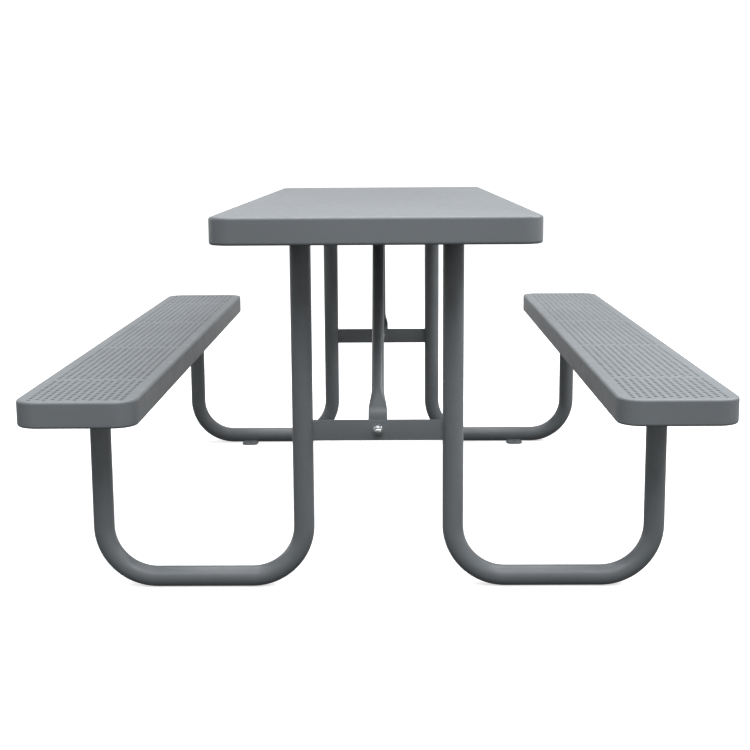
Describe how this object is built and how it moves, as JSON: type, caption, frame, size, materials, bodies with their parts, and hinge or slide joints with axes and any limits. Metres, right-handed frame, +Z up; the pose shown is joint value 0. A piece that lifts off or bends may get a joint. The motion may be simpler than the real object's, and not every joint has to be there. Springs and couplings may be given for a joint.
{
  "type": "picnic table",
  "caption": "Steel picnic table with a plain folded-sheet top, perforated bench seats, bent-tube end frames, crossbars and diagonal braces.",
  "frame": {"origin": "on the floor, under the middle of the table top", "axes": "+X across the table from one seat to the other, +Y along the table, +Z up"},
  "size_m": [1.346, 1.829, 0.762],
  "materials": {
    "table_sheet": "satin mid-grey powder coat on folded steel sheet",
    "seat_sheet": "satin mid-grey powder coat on punched and folded steel sheet",
    "frame_tube": "satin mid-grey powder coat on bent steel tube",
    "frame_plate": "satin mid-grey powder coat on cut steel plate and folded ribs",
    "zinc_fasteners": "bright zinc plated steel"
  },
  "bodies": {
    "root": {"brace_foot_bolts": "zinc_fasteners", "brace_foot_cap_nuts": "zinc_fasteners", "brace_foot_washers": "zinc_fasteners", "brace_head_bolts": "zinc_fasteners", "brace_head_nuts": "zinc_fasteners", "brace_head_washers": "zinc_fasteners", "front_brace": "frame_tube", "front_crossbar": "frame_plate", "front_left_anchor_tab": "frame_plate", "front_left_leg": "frame_tube", "front_left_seat_plate": "frame_plate", "front_left_table_plate": "frame_plate", "front_right_anchor_tab": "frame_plate", "front_right_leg": "frame_tube", "front_right_seat_plate": "frame_plate", "front_right_table_plate": "frame_plate", "left_seat": "seat_sheet", "left_seat_rib_front": "frame_plate", "left_seat_rib_mid_front": "frame_plate", "left_seat_rib_mid_rear": "frame_plate", "left_seat_rib_rear": "frame_plate", "rear_brace": "frame_tube", "rear_crossbar": "frame_plate", "rear_left_anchor_tab": "frame_plate", "rear_left_leg": "frame_tube", "rear_left_seat_plate": "frame_plate", "rear_left_table_plate": "frame_plate", "rear_right_anchor_tab": "frame_plate", "rear_right_leg": "frame_tube", "rear_right_seat_plate": "frame_plate", "rear_right_table_plate": "frame_plate", "right_seat": "seat_sheet", "right_seat_rib_front": "frame_plate", "right_seat_rib_mid_front": "frame_plate", "right_seat_rib_mid_rear": "frame_plate", "right_seat_rib_rear": "frame_plate", "seat_plate_bolts": "zinc_fasteners", "seat_plate_nuts": "zinc_fasteners", "table_plate_bolts": "zinc_fasteners", "table_plate_nuts": "zinc_fasteners", "table_rib_front": "frame_plate", "table_rib_mid_front": "frame_plate", "table_rib_mid_rear": "frame_plate", "table_rib_rear": "frame_plate", "table_top": "table_sheet"}
  },
  "joints": []
}
